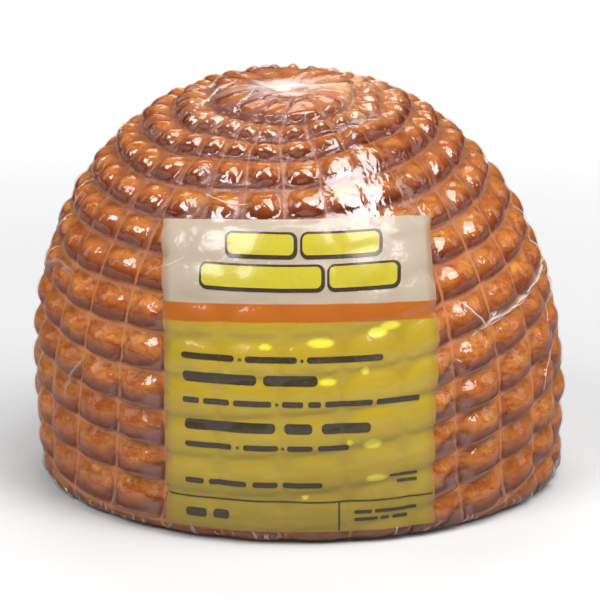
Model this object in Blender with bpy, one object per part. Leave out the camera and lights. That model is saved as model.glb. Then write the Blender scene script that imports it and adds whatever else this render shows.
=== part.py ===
"""Boneless half ham, sealed in clear film over the marks of its smoking net.

The ham is a dome that stands on its flat cut face. Its net has left a grid of pillows:
grooves run up from the base to the top like meridians, and rings of grooves cross them.
The net sat askew, so the rings dip to the front and rise to the right.
A printed panel lies on the film over the front pillows.
Metres, +Z up, the front at -Y, the origin under the middle of the whole at the base.
"""

import math

import bmesh
import bpy
import numpy as np

# The dome: the widest half-width, the whole height, and how high the widest place is
MAX_RADIUS = 0.0703
DOME_HEIGHT = 1.534 * MAX_RADIUS
WAIST_HEIGHT = 0.361 * MAX_RADIUS

# How full the shoulder is, as superellipse exponents, and how the side draws in below the waist
SHOULDER_ACROSS = 2.21
SHOULDER_UP = 2.06
UNDERCUT = 0.59 / MAX_RADIUS

# The lower edge is rounded where the cut face meets the side
EDGE_ROUND = 0.004
EDGE_LOOP_HEIGHT = EDGE_ROUND / 4

# The net: grooves from base to top, and rings a fixed distance apart along the side
MERIDIANS = 27
RING_PITCH = 0.1328 * MAX_RADIUS
FIRST_RING = 0.221 * MAX_RADIUS
LOWEST_RING = -3
GATHER_RINGS = 14
FRONT_TURN = math.radians(-0.1)
TWIST_PER_METRE = math.radians(5.7) / MAX_RADIUS
UNTWISTED_AT = 0.885 * MAX_RADIUS

# How far the net is turned askew about its centre, less so higher up, and how the dome itself leans
NET_CENTRE = 0.226 * MAX_RADIUS
NET_LEFT = math.radians(5.9)
NET_LEFT_PER_METRE = math.radians(-2.3) / MAX_RADIUS
NET_FRONT = math.radians(9.6)
NET_FRONT_PER_METRE = math.radians(-4.2) / MAX_RADIUS
DOME_LEFT = 0.034
DOME_FRONT = 0.069

# Depths of the grooves, shallower near the base, and how uneven the pillows are
RING_DEPTH_LOW = 0.0017
RING_DEPTH_HIGH = 0.0022
MERIDIAN_DEPTH = 0.0015
PILLOW_PEAK = 0.38
GROOVE_SHARPNESS = 3.0
MERIDIAN_FULL_RADIUS = 0.45 * MAX_RADIUS
BASE_DEPTH_SHARE = 0.45
FULL_DEPTH_HEIGHT = 0.008
PILLOW_UNEVEN = 0.0004
SEED = 27

# The net's lines wander in slow waves, by shares of a pillow, with whole waves round the dome
RING_WANDER = 0.07
RING_WANDER_FINE = 0.04
MERIDIAN_WANDER = 0.05
WAVES_ROUND = (2, 5, 3)
WAVE_TURNS_PER_RING = (0, 1.3, 0.9)
RING_WANDER_FADES = 3

# The gathered top: a shallow dimple
DIMPLE_DEPTH = 0.0022
DIMPLE_RADIUS = 0.0075

# The mesh: columns to a pillow, and where its rows lie between one ring and the next
COLUMNS_PER_PILLOW = 4
ROW_PLACES = (0.0, 0.3, 0.7)
TOP_ROW_PLACES = (0.0, 0.4, 0.8)
CUT_SNAP = 0.0002

# The printed panel, as places across the front and heights above the base
PANEL_LEFT = -0.0330
PANEL_RIGHT = 0.0314
PANEL_BOTTOM = 0.0034
PANEL_TOP = 0.0782
PANEL_EDGE_WAVE = 0.0014
PANEL_WAVES = 0.9
PANEL_WAVE_START = -0.6
PANEL_THICKNESS = 0.0004
PANEL_GAP = 0.0003
PANEL_COLUMNS = 18
PANEL_ROWS = 20
PANEL_SMOOTHS = 0.6
PANEL_MARGIN = 0.004

PROFILE_STEPS = 240
LOWEST_PROFILE = -0.55 * MAX_RADIUS
SLOPE_STEP = RING_PITCH / 20
SHARP_EDGE = math.radians(80)


def profile():
    """The turned outline from below the base to the top: its radius, height and length along the side."""
    low = np.linspace(LOWEST_PROFILE, WAIST_HEIGHT, PROFILE_STEPS, endpoint=False)
    low_radius = MAX_RADIUS * np.sqrt(1 - (UNDERCUT * (WAIST_HEIGHT - low)) ** 2)
    turn = np.linspace(0, math.pi / 2, PROFILE_STEPS)
    high_radius = MAX_RADIUS * np.abs(np.cos(turn)) ** (2 / SHOULDER_ACROSS)
    high_radius[-1] = 0
    high = WAIST_HEIGHT + (DOME_HEIGHT - WAIST_HEIGHT) * np.sin(turn) ** (2 / SHOULDER_UP)
    radius = np.concatenate([low_radius, high_radius])
    height = np.concatenate([low, high])
    steps = np.hypot(np.diff(radius), np.diff(height))
    along = np.concatenate([[0], np.cumsum(steps)])
    return radius, height, along - np.interp(0, height, along)


RADIUS, HEIGHT, ALONG = profile()
TOP = ALONG[-1]


def on_dome(turn, along, inward):
    """A point of the dome, at an angle from the front and a length up the side, pushed inward."""
    radius = np.interp(along, ALONG, RADIUS)
    height = np.interp(along, ALONG, HEIGHT)
    before, after = along - SLOPE_STEP, along + SLOPE_STEP
    slope = np.interp(after, ALONG, RADIUS) - np.interp(before, ALONG, RADIUS)
    climb = np.interp(after, ALONG, HEIGHT) - np.interp(before, ALONG, HEIGHT)
    length = np.hypot(slope, climb)
    radius = radius - inward * climb / length
    height = height + inward * slope / length
    return radius * np.sin(turn) - DOME_LEFT * height, -radius * np.cos(turn) - DOME_FRONT * height, height


def askew(turn, along):
    """Where on the dome a place of the net lies, once the net is turned about the dome's middle."""
    radius = np.interp(along, ALONG, RADIUS)
    height = np.interp(along, ALONG, HEIGHT)
    left = NET_LEFT + NET_LEFT_PER_METRE * height
    front = NET_FRONT + NET_FRONT_PER_METRE * height
    across, deep, up = radius * np.sin(turn), -radius * np.cos(turn), height - NET_CENTRE
    across, up = across * np.cos(left) - up * np.sin(left), across * np.sin(left) + up * np.cos(left)
    deep, up = deep * np.cos(front) - up * np.sin(front), deep * np.sin(front) + up * np.cos(front)
    from_top = np.arctan2(np.hypot(across, deep), up)
    profile_from_top = np.arctan2(RADIUS, HEIGHT - NET_CENTRE)
    return np.arctan2(across, -deep), np.interp(from_top, profile_from_top[::-1], ALONG[::-1])


def round_edge(x, y, z):
    """Draws points near the base inward, along a quarter circle."""
    up = np.clip(z, 0, EDGE_ROUND)
    inset = EDGE_ROUND - np.sqrt(EDGE_ROUND**2 - (EDGE_ROUND - up) ** 2)
    reach = np.maximum(np.hypot(x, y), MAX_RADIUS / 2)
    return x * (1 - inset / reach), y * (1 - inset / reach), z


def front_place(x, z):
    """The angle and the length up the side of the front point at this place across and this height."""
    radius = np.interp(z, HEIGHT, RADIUS)
    return np.arcsin((x + DOME_LEFT * z) / radius), np.interp(z, HEIGHT, ALONG)


def smooth_step(value):
    value = np.clip(value, 0, 1)
    return value * value * (3 - 2 * value)


def panel_right(z):
    """The right edge of the panel, which waves a little."""
    wave = 2 * math.pi * PANEL_WAVES * z / PANEL_TOP + PANEL_WAVE_START
    return PANEL_RIGHT + PANEL_EDGE_WAVE * np.sin(wave)


def under_panel(x, y, z):
    """How fully a point of the ham lies under the panel, from 0 to 1."""
    right = panel_right(z)
    inside = np.minimum(np.minimum(x - PANEL_LEFT, right - x), np.minimum(z - PANEL_BOTTOM, PANEL_TOP - z))
    return np.where(y < 0, smooth_step(inside / PANEL_MARGIN + 0.5), 0)


def net_rows():
    """Ring numbers of the mesh's rows: each ring, and places between it and the next, up to the top."""
    rows = [ring + place for ring in range(LOWEST_RING, GATHER_RINGS) for place in ROW_PLACES]
    rows += [GATHER_RINGS + place for place in TOP_ROW_PLACES]
    return np.array([*rows, 1 + (TOP - FIRST_RING) / RING_PITCH])


def net_places(columns, rows, draw):
    """Angles and lengths up the side where the net's lines lie, each line wandering a little."""
    pillows = columns / COLUMNS_PER_PILLOW
    even = 2 * math.pi * pillows / MERIDIANS
    phases = draw.uniform(0, 2 * math.pi, len(WAVES_ROUND))
    slow, fine, side = (
        np.sin(waves * even + turns * rows + phase)
        for waves, turns, phase in zip(WAVES_ROUND, WAVE_TURNS_PER_RING, phases)
    )
    top_fade = np.clip((GATHER_RINGS - rows) / RING_WANDER_FADES, 0, 1)
    wander = (RING_WANDER * slow + RING_WANDER_FINE * fine) * top_fade
    along = FIRST_RING + (rows - 1 + wander) * RING_PITCH
    turn = even + FRONT_TURN + MERIDIAN_WANDER * side * 2 * math.pi / MERIDIANS
    turn = turn + TWIST_PER_METRE * (along - UNTWISTED_AT)
    return turn, np.minimum(along, TOP)


def pillow_depth(columns, rows, along, draw):
    """How far below the dome's fullest surface a point of the netted ham lies."""
    across = np.mod(columns / COLUMNS_PER_PILLOW, 1)
    upward = np.mod(rows, 1)
    skew = math.log(0.5) / math.log(PILLOW_PEAK)
    ring = np.abs(2 * upward**skew - 1) ** GROOVE_SHARPNESS
    meridian = np.abs(2 * across - 1) ** GROOVE_SHARPNESS
    gather = np.clip((along - FIRST_RING) / (TOP - FIRST_RING), 0, 1)
    ring_depth = RING_DEPTH_LOW + (RING_DEPTH_HIGH - RING_DEPTH_LOW) * gather
    radius = np.interp(along, ALONG, RADIUS)
    meridian_depth = MERIDIAN_DEPTH * np.clip(radius / MERIDIAN_FULL_RADIUS, 0, 1)
    ring_fade = np.clip(GATHER_RINGS + 0.5 - rows, 0, 1)
    uneven = draw.uniform(0, PILLOW_UNEVEN, (MERIDIANS, GATHER_RINGS - LOWEST_RING + 3))
    pillow = np.floor(columns / COLUMNS_PER_PILLOW).astype(int) % MERIDIANS
    level = np.floor(rows).astype(int) - LOWEST_RING
    depth = ring_depth * ring * ring_fade + meridian_depth * meridian * (1 - ring * ring_fade)
    depth = depth + uneven[pillow, level] * (1 - ring) * (1 - meridian)
    dimple = DIMPLE_DEPTH * np.exp(-(((TOP - along) / DIMPLE_RADIUS) ** 2))
    return depth * np.clip((TOP - along) / RING_PITCH, 0, 1) + dimple


def plain_material(name, colour, roughness):
    material = bpy.data.materials.new(name)
    material.use_nodes = True
    shader = material.node_tree.nodes["Principled BSDF"]
    shader.inputs["Base Color"].default_value = (*colour, 1)
    shader.inputs["Roughness"].default_value = roughness
    shader.inputs["Metallic"].default_value = 0
    return material


def add_object(name, bm, material):
    mesh = bpy.data.meshes.new(name)
    bm.to_mesh(mesh)
    bm.free()
    mesh.materials.append(material)
    mesh.shade_smooth()
    mesh.set_sharp_from_angle(angle=SHARP_EDGE)
    piece = bpy.data.objects.new(name, mesh)
    bpy.context.scene.collection.objects.link(piece)
    return piece


def grid(columns, rows):
    """A flat grid whose points sit at whole numbers of columns and rows."""
    bm = bmesh.new()
    bmesh.ops.create_grid(bm, x_segments=columns, y_segments=rows, size=0.5)
    places = np.array([vertex.co for vertex in bm.verts])
    return bm, np.rint((places[:, 0] + 0.5) * columns), np.rint((places[:, 1] + 0.5) * rows)


def set_points(bm, x, y, z):
    for vertex, place in zip(bm.verts, np.stack([x, y, z], axis=1)):
        vertex.co = place


def cut_level(bm, height, keep_below):
    """Cuts the mesh level at a height, and takes away what is lower unless it is kept."""
    bmesh.ops.bisect_plane(
        bm,
        geom=bm.verts[:] + bm.edges[:] + bm.faces[:],
        dist=CUT_SNAP,
        plane_co=(0, 0, height),
        plane_no=(0, 0, 1),
        clear_inner=not keep_below,
    )


def make_ham(material):
    rows = net_rows()
    bm, column, row = grid(MERIDIANS * COLUMNS_PER_PILLOW, len(rows) - 1)
    draw = np.random.default_rng(SEED)
    ring = rows[row.astype(int)]
    turn, along = net_places(column, ring, draw)
    depth = pillow_depth(column, ring, along, draw)
    place = askew(turn, along)
    fullest = on_dome(*place, 0)
    depth = depth * (1 - PANEL_SMOOTHS * under_panel(*fullest))
    risen = smooth_step(fullest[2] / FULL_DEPTH_HEIGHT)
    depth = depth * (BASE_DEPTH_SHARE + (1 - BASE_DEPTH_SHARE) * risen)
    set_points(bm, *on_dome(*place, depth))
    bmesh.ops.remove_doubles(bm, verts=bm.verts, dist=1e-6)
    cut_level(bm, 0, keep_below=False)
    cut_level(bm, EDGE_LOOP_HEIGHT, keep_below=True)
    for edge in bm.edges:
        if edge.is_boundary:
            for vertex in edge.verts:
                vertex.co.z = 0
    places = np.array([vertex.co for vertex in bm.verts])
    set_points(bm, *round_edge(*places.T))
    bmesh.ops.holes_fill(bm, edges=[edge for edge in bm.edges if edge.is_boundary], sides=0)
    bmesh.ops.recalc_face_normals(bm, faces=bm.faces)
    return add_object("wrapped_ham", bm, material)


def make_panel(material):
    bm, column, row = grid(PANEL_COLUMNS, PANEL_ROWS)
    z = PANEL_BOTTOM + (PANEL_TOP - PANEL_BOTTOM) * row / PANEL_ROWS
    x = PANEL_LEFT + (panel_right(z) - PANEL_LEFT) * column / PANEL_COLUMNS
    turn, along = front_place(x, z)
    set_points(bm, *round_edge(*on_dome(turn, along, -PANEL_GAP)))
    bmesh.ops.recalc_face_normals(bm, faces=bm.faces)
    bm.normal_update()
    if sum(face.normal.y for face in bm.faces) > 0:
        bmesh.ops.reverse_faces(bm, faces=bm.faces)
    panel = add_object("printed_panel", bm, material)
    solidify = panel.modifiers.new("Thickness", "SOLIDIFY")
    solidify.thickness = PANEL_THICKNESS
    solidify.offset = 1
    return panel


def centre_on_origin(pieces):
    """Moves the pieces so that the middle of the whole stands over the origin."""
    bpy.context.view_layer.update()
    graph = bpy.context.evaluated_depsgraph_get()
    corners = np.array([corner for piece in pieces for corner in piece.evaluated_get(graph).bound_box])
    middle = (corners.min(axis=0) + corners.max(axis=0)) / 2
    for piece in pieces:
        piece.location.x = -middle[0]
        piece.location.y = -middle[1]


def main():
    for piece in list(bpy.data.objects):
        bpy.data.objects.remove(piece, do_unlink=True)
    ham = make_ham(plain_material("wrapped_ham", (0.42, 0.17, 0.07), 0.25))
    panel = make_panel(plain_material("printed_panel", (0.72, 0.58, 0.16), 0.3))
    centre_on_origin([ham, panel])


main()
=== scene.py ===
"""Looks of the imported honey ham: the netted smoked ham, its clear film, and the printed front.

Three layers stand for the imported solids. The ham's meat lies innermost, with the marks of its
net. A clear film is drawn tight over it, and stands off a little under some pillows. The printed
part of the film lies on the front. Folds of the film and the printed marks come last.
Metres, +Z up, the front at -Y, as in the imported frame.
"""

import math

import bmesh
import bpy
import numpy as np
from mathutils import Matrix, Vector, noise
from mathutils.bvhtree import BVHTree


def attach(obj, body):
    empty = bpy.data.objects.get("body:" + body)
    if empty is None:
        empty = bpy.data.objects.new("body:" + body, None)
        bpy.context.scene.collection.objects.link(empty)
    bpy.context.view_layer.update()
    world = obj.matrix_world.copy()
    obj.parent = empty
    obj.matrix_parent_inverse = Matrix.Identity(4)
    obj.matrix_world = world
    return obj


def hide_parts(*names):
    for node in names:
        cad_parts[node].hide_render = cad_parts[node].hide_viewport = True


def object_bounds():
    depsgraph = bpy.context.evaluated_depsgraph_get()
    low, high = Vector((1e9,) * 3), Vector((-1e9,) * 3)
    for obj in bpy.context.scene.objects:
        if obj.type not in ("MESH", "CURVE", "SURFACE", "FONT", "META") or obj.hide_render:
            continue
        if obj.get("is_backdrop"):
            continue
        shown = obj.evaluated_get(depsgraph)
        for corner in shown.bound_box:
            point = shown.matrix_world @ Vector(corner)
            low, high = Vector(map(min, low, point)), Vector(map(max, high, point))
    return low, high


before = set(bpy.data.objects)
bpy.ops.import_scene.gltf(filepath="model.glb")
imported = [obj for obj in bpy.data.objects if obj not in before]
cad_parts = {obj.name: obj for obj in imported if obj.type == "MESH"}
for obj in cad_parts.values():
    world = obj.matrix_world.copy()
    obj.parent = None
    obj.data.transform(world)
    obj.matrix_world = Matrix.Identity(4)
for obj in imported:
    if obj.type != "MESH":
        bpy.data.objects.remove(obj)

CAD_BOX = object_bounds()

# The dome and its net, with the same values as the solids
MAX_RADIUS = 0.0703
DOME_HEIGHT = 1.534 * MAX_RADIUS
WAIST_HEIGHT = 0.361 * MAX_RADIUS
SHOULDER_ACROSS = 2.21
SHOULDER_UP = 2.06
UNDERCUT = 0.59 / MAX_RADIUS
EDGE_ROUND = 0.004
MERIDIANS = 27
RING_PITCH = 0.1328 * MAX_RADIUS
FIRST_RING = 0.221 * MAX_RADIUS
LOWEST_RING = -3
GATHER_RINGS = 14
FRONT_TURN = math.radians(-0.1)
TWIST_PER_METRE = math.radians(5.7) / MAX_RADIUS
UNTWISTED_AT = 0.885 * MAX_RADIUS
NET_CENTRE = 0.226 * MAX_RADIUS
NET_LEFT = math.radians(5.9)
NET_LEFT_PER_METRE = math.radians(-2.3) / MAX_RADIUS
NET_FRONT = math.radians(9.6)
NET_FRONT_PER_METRE = math.radians(-4.2) / MAX_RADIUS
DOME_LEFT = 0.034
DOME_FRONT = 0.069
SEED = 27
RING_WANDER = 0.07
RING_WANDER_FINE = 0.04
MERIDIAN_WANDER = 0.05
WAVES_ROUND = (2, 5, 3)
WAVE_TURNS_PER_RING = (0, 1.3, 0.9)
RING_WANDER_FADES = 3
PROFILE_STEPS = 240
LOWEST_PROFILE = -0.55 * MAX_RADIUS
SLOPE_STEP = RING_PITCH / 20

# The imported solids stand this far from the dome's own axis
FRAME_SHIFT = (0.000835, 0.002185)

# Relief of the pillows: groove depths, where the peak lies, and how full the pillows are. Here and below,
# a name that ends in RISE tells from where something grows, and over what reach
RING_DEPTH = 0.0027
MERIDIAN_DEPTH = 0.0024
MERIDIAN_FULL_RADIUS = 0.34 * MAX_RADIUS
PILLOW_PEAK = 0.40
PILLOW_FULLNESS = 2.3
UPPER_CORNER = 2.5
LOWER_CORNER = 3.8
CROWDED_CORNER = 2.4
CROWDED_RISE = (5.5, 5)
CROWDED_GAP = 0.16
OPEN_GAP = 0.05
RING_SHARE_POWER = 4
RING_SHARE_LEAST = 0.01
PILLOW_UNEVEN = 0.0005
SPARE_LEVELS = 3
BASE_DEPTH_SHARE = 0.3
FULL_DEPTH_HEIGHT = 0.012
DIMPLE_DEPTH = 0.0022
DIMPLE_RADIUS = 0.0075
CROWN_LUMP_HEIGHT = 0.0022
CROWN_LUMP_SCALE = 85
CROWN_PLAIN_RINGS = 1.5
CROWN_REACH = 0.034
CROWN_WOBBLE_RISE = (9.5, 3)
CROWN_WOBBLE = (0.35, 0.3)
CROWN_WOBBLE_SCALE = 70
CROWN_RING_FADE = (13.9, 0.9, 0.35)
CROWN_LEAST_DEPTH = 0.6
MERGED_FROM_RING = 13
MERGED_SHARE = 14 / 27

# The gather of the net is drawn from its middle to here, from this ring upward
GATHER_SHIFT = (0.004, -0.010)
GATHER_DRAWN_FROM = 10.5

# Where the meat is pale beside the gather: its direction, reach and edge
CREAM_RIGHT = 0.45
CREAM_BACK = 0.9
CREAM_REACH = 0.036
CREAM_FADE = 0.01
CREAM_LEAST = 0.1
CREAM_MOST = 0.8
CREAM_MOTTLE = 0.4
CREAM_SIDE_FROM = 0.7
CREAM_BEHIND_FROM = 0.6

# How far the noise of each seed lies from the next, and how thin the creases of a crumple are
NOISE_SHIFT = (7.3, 3.1, 5.7)
CREASE_THINNESS = 2.5

# Small lumps of the meat, as heights and noise scales per metre
LUMP_HEIGHT = 0.00035
LUMP_SCALE = 150
PIMPLE_HEIGHT = 0.00008
PIMPLE_SCALE = 700

# The film: its gap from the meat, and its crumples
FILM_GAP = 0.00025
CRUMPLE_HEIGHT = 0.0001
CRUMPLE_SCALE = 190
FINE_CRUMPLE_HEIGHT = 0.00002
FINE_CRUMPLE_SCALE = 520
EDGE_CRUMPLE_HEIGHT = 0.0003
EDGE_CRUMPLE_REACH = 0.006
FILM_REFLECTS = 0.046
FILM_GRAZING = 0.12
FILM_GRAZING_POWER = 5.0
FILM_ROUGH = 0.06
PRESSED_ROUGH = 0.28
PRESSED_REFLECTS = 0.5
PRESSED_RISE = (0.9, 0.12)
PANEL_QUIETS = 0.8

# Where the film stands off under a pillow: how far, how the patches lie, and how much they flatten it
STAND_OFF = 0.0009
PATCH_SCALE = 38
PATCH_RISE = (0.2, 0.3)
PATCH_REACH = 0.36
PATCHLESS_REACH = 1.08
PATCH_RAGGED = (0.22, 0.12)
PATCH_EDGE = 0.1
PATCH_MOST = 0.6
PATCH_FLATTENS = 0.35
BESIDE_PANEL_LEFT = 0.012
BESIDE_PANEL_RIGHT = 0.016
BESIDE_PANEL_TOP = 0.056
BESIDE_PANEL_FADE = 0.022
CROWN_HAZE = 0.5
CROWN_HAZE_RISE = (0.94, 0.12)
CLEAR_LINE_RISE = (0.98, 0.06)
GATHER_HAZE_REACH = (0.011, 0.0045)
GATHER_HAZE = (0.8, 0.6)
GATHER_STREAKS = (0.4, 1.6, 1.0)

# Where the film bridges the grooves: middle across the front, height, reach, how fully, and outer edge
BRIDGE = (0.0175, 0.0880, 0.014, 0.88, 1.5)

# Doubled film reflects more: how much, and how fully and from which height it lies double at the crown
DOUBLED_ADDS = 1.5
CROWN_DOUBLED = 0.35
CROWN_DOUBLED_RISE = (0.062, 0.02)

# Places of the fine net mesh within one pillow, closer together at the grooves
PLACES_ACROSS = (0.0, 0.03, 0.07, 0.12, 0.19, 0.28, 0.39, 0.5, 0.61, 0.72, 0.81, 0.88, 0.93, 0.97)
PLACES_UP = (0.0, 0.04, 0.09, 0.16, 0.25, 0.35, 0.46, 0.58, 0.7, 0.81, 0.9, 0.96)
TOP_PLACES = 16
WELD_REACH = 2e-6
CUT_REACH = 1e-5

# The printed panel and the heights where its fields change, at the sides and in the middle
PANEL_LEFT = -0.0335
PANEL_LEFT_LEAN = 0.01
PANEL_RIGHT = 0.0325
PANEL_RIGHT_HEIGHTS = (0.0034, 0.03, 0.04, 0.05, 0.06, 0.07, 0.0782)
PANEL_RIGHT_EDGE = (0.0328, 0.0325, 0.0331, 0.0335, 0.0328, 0.0320, 0.0316)
PANEL_BOTTOM = 0.0034
PANEL_TOP = 0.0786
PANEL_TOP_BOW = 0.0015
PANEL_MARGIN = 0.004
PANEL_EDGE_FADE = 0.0028
PANEL_SMOOTHS = 0.6
BEIGE_SMOOTHS = 0.85
BEIGE_SMOOTHS_RISE = (0.05, 0.014)
PANEL_OVER_FILM = 0.00015
PANEL_COLUMNS = 140
PANEL_ROWS = 160
PANEL_LAST = 1e-6
PANEL_BRIDGES = 6
CAST_START = 0.01
ORANGE_TOP = 0.0596
ORANGE_BOTTOM = 0.0553
FIELD_BOW = 0.0012

# Painted highlight ovals where the print is pressed to the ham, in mm: middle, height, and half their width
# and height
PRESSED_HIGHLIGHT_SPOTS = (
    (4.6, 51.7, 3.2, 1.1),
    (18.4, 53.6, 2.3, 1.2),
    (21.5, 55.0, 2.4, 0.9),
    (-8.9, 50.7, 1.5, 0.7),
    (6.3, 42.2, 2.1, 0.9),
    (15.4, 44.6, 0.9, 0.9),
    (17.3, 26.2, 2.2, 1.1),
    (11.6, 26.8, 0.7, 0.7),
    (18.3, 17.3, 2.5, 0.9),
    (0.8, 12.9, 0.8, 0.5),
)
SPOT_REACH = 1.25
SPOT_EDGE = 0.5

# The camera, as fitted to the photograph
CAMERA_RISE = math.radians(13.49)
CAMERA_DISTANCE = 11.2 * MAX_RADIUS
CAMERA_LENS = 180.2
CAMERA_PIVOT_HEIGHT = 0.776 * MAX_RADIUS
CAMERA_AIM = (-0.0073 * MAX_RADIUS, 0, 0.634 * MAX_RADIUS)
SENSOR_WIDTH = 36
IMAGE_SIZE = 600


def profile():
    """The turned outline from below the base to the top: its radius, height and length along the side."""
    low = np.linspace(LOWEST_PROFILE, WAIST_HEIGHT, PROFILE_STEPS, endpoint=False)
    low_radius = MAX_RADIUS * np.sqrt(1 - (UNDERCUT * (WAIST_HEIGHT - low)) ** 2)
    turn = np.linspace(0, math.pi / 2, PROFILE_STEPS)
    high_radius = MAX_RADIUS * np.abs(np.cos(turn)) ** (2 / SHOULDER_ACROSS)
    high_radius[-1] = 0
    high = WAIST_HEIGHT + (DOME_HEIGHT - WAIST_HEIGHT) * np.sin(turn) ** (2 / SHOULDER_UP)
    radius = np.concatenate([low_radius, high_radius])
    height = np.concatenate([low, high])
    steps = np.hypot(np.diff(radius), np.diff(height))
    along = np.concatenate([[0], np.cumsum(steps)])
    return radius, height, along - np.interp(0, height, along)


RADIUS, HEIGHT, ALONG = profile()
TOP = ALONG[-1]
LAST_ROW = 1 + (TOP - FIRST_RING) / RING_PITCH


def radius_at(along):
    return np.interp(along, ALONG, RADIUS)


def height_at(along):
    return np.interp(along, ALONG, HEIGHT)


def on_dome(turn, along, inward):
    """Points of the dome, at an angle from the front and a length up the side, pushed inward."""
    radius, height = radius_at(along), height_at(along)
    before, after = along - SLOPE_STEP, along + SLOPE_STEP
    slope, climb = radius_at(after) - radius_at(before), height_at(after) - height_at(before)
    length = np.hypot(slope, climb)
    radius = radius - inward * climb / length
    height = height + inward * slope / length
    x = radius * np.sin(turn) - DOME_LEFT * height + FRAME_SHIFT[0]
    y = -radius * np.cos(turn) - DOME_FRONT * height + FRAME_SHIFT[1]
    return np.stack([x, y, height], axis=-1)


def askew(turn, along):
    """Where on the dome a place of the net lies, once the net is turned about the dome's middle."""
    radius, height = radius_at(along), height_at(along)
    left = NET_LEFT + NET_LEFT_PER_METRE * height
    front = NET_FRONT + NET_FRONT_PER_METRE * height
    across, deep, up = radius * np.sin(turn), -radius * np.cos(turn), height - NET_CENTRE
    across, up = across * np.cos(left) - up * np.sin(left), across * np.sin(left) + up * np.cos(left)
    deep, up = deep * np.cos(front) - up * np.sin(front), deep * np.sin(front) + up * np.cos(front)
    from_top = np.arctan2(np.hypot(across, deep), up)
    profile_from_top = np.arctan2(RADIUS, HEIGHT - NET_CENTRE)
    return np.arctan2(across, -deep), np.interp(from_top, profile_from_top[::-1], ALONG[::-1])


def gathered(turn, along, row):
    """Draws the top of the net from its middle to where it is gathered."""
    share = smooth_step((row - GATHER_DRAWN_FROM) / (LAST_ROW - GATHER_DRAWN_FROM))
    across = radius_at(along) * np.sin(turn) + share * GATHER_SHIFT[0]
    deep = -radius_at(along) * np.cos(turn) + share * GATHER_SHIFT[1]
    upper = slice(PROFILE_STEPS, None)
    drawn = np.interp(np.hypot(across, deep), RADIUS[upper][::-1], ALONG[upper][::-1])
    return np.arctan2(across, -deep), np.where(share > 0, drawn, along)


def net_places(column, row, phases):
    """Angles and lengths up the side where the net's lines lie, each line wandering a little."""
    even = 2 * math.pi * column / MERIDIANS
    slow, fine, side = (
        np.sin(waves * even + turns * row + phase)
        for waves, turns, phase in zip(WAVES_ROUND, WAVE_TURNS_PER_RING, phases)
    )
    top_fade = np.clip((GATHER_RINGS - row) / RING_WANDER_FADES, 0, 1)
    wander = (RING_WANDER * slow + RING_WANDER_FINE * fine) * top_fade
    along = FIRST_RING + (row - 1 + wander) * RING_PITCH
    turn = even + FRONT_TURN + MERIDIAN_WANDER * side * 2 * math.pi / MERIDIANS
    turn = turn + TWIST_PER_METRE * (along - UNTWISTED_AT)
    return turn, np.minimum(along, TOP)


def smooth_step(value):
    value = np.clip(value, 0, 1)
    return value * value * (3 - 2 * value)


def rise(value, start, reach):
    """Goes smoothly from 0 to 1 as a value goes up from the start, within this reach."""
    return smooth_step((value - start) / reach)


def round_edge(points):
    """Draws points near the base inward, along a quarter circle."""
    up = np.clip(points[..., 2], 0, EDGE_ROUND)
    inset = EDGE_ROUND - np.sqrt(EDGE_ROUND**2 - (EDGE_ROUND - up) ** 2)
    middle = np.array([*FRAME_SHIFT, 0])
    out = points - middle
    reach = np.maximum(np.hypot(out[..., 0], out[..., 1]), MAX_RADIUS / 2)
    out[..., :2] *= (1 - inset / reach)[..., None]
    return out + middle


def front_place(x, z):
    """The angle and the length up the side of the front point at this place across and this height."""
    radius = np.interp(z, HEIGHT, RADIUS)
    return np.arcsin((x + DOME_LEFT * z) / radius), np.interp(z, HEIGHT, ALONG)


def panel_left(z):
    """The left edge of the panel, which leans a little."""
    return PANEL_LEFT - PANEL_LEFT_LEAN * z


def panel_right(z):
    """The right edge of the panel, which waves a little."""
    return np.interp(z, PANEL_RIGHT_HEIGHTS, PANEL_RIGHT_EDGE)


def panel_top(x):
    """The top edge of the panel, which bows upward a little."""
    return PANEL_TOP + PANEL_TOP_BOW * (1 - (x / PANEL_RIGHT) ** 2)


def under_panel(points):
    """How fully points of the film lie under the panel, from 0 to 1."""
    x, y, z = points[..., 0] - FRAME_SHIFT[0], points[..., 1], points[..., 2]
    beside = np.minimum(x - panel_left(z), panel_right(z) - x)
    inside = np.minimum(beside, np.minimum(z - PANEL_BOTTOM, panel_top(x) - z))
    return np.where(y < 0, smooth_step(inside / PANEL_MARGIN + 0.5), 0)


def noise_at(points, scale, seed):
    """Smooth noise from -1 to 1 at each point."""
    shift = Vector([seed * step for step in NOISE_SHIFT])
    flat = points.reshape(-1, 3) * scale
    values = [noise.noise(Vector(place) + shift) for place in flat]
    return np.array(values).reshape(points.shape[:-1])


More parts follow.
